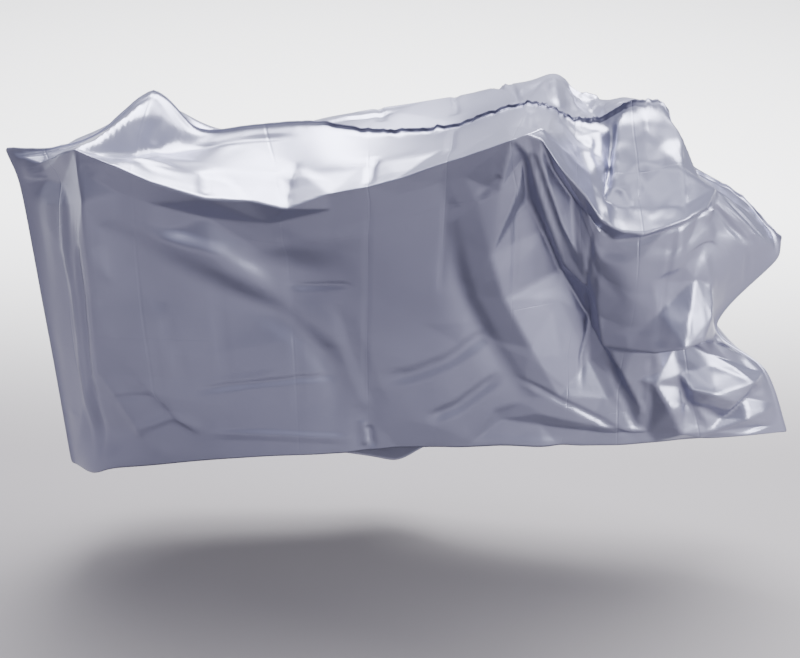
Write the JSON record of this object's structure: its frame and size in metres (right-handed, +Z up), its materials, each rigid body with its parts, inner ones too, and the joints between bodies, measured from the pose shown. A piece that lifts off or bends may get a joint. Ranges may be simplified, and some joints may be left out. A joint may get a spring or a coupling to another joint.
{
  "type": "bicycle cover",
  "caption": "Hollow silver film cover, draped in folds as over a bicycle, with a standing centre seam and an open hem.",
  "frame": {"origin": "underside of the cover's top near its middle, where the bicycle's frame and saddle hold it up", "axes": "+X towards the bicycle's front wheel, +Y towards its far side, +Z up"},
  "size_m": [1.804, 0.5773, 1.0877],
  "materials": {
    "film": "satin silver coated film"
  },
  "bodies": {
    "root": {"near_panel": "film", "far_panel": "film"}
  },
  "joints": []
}
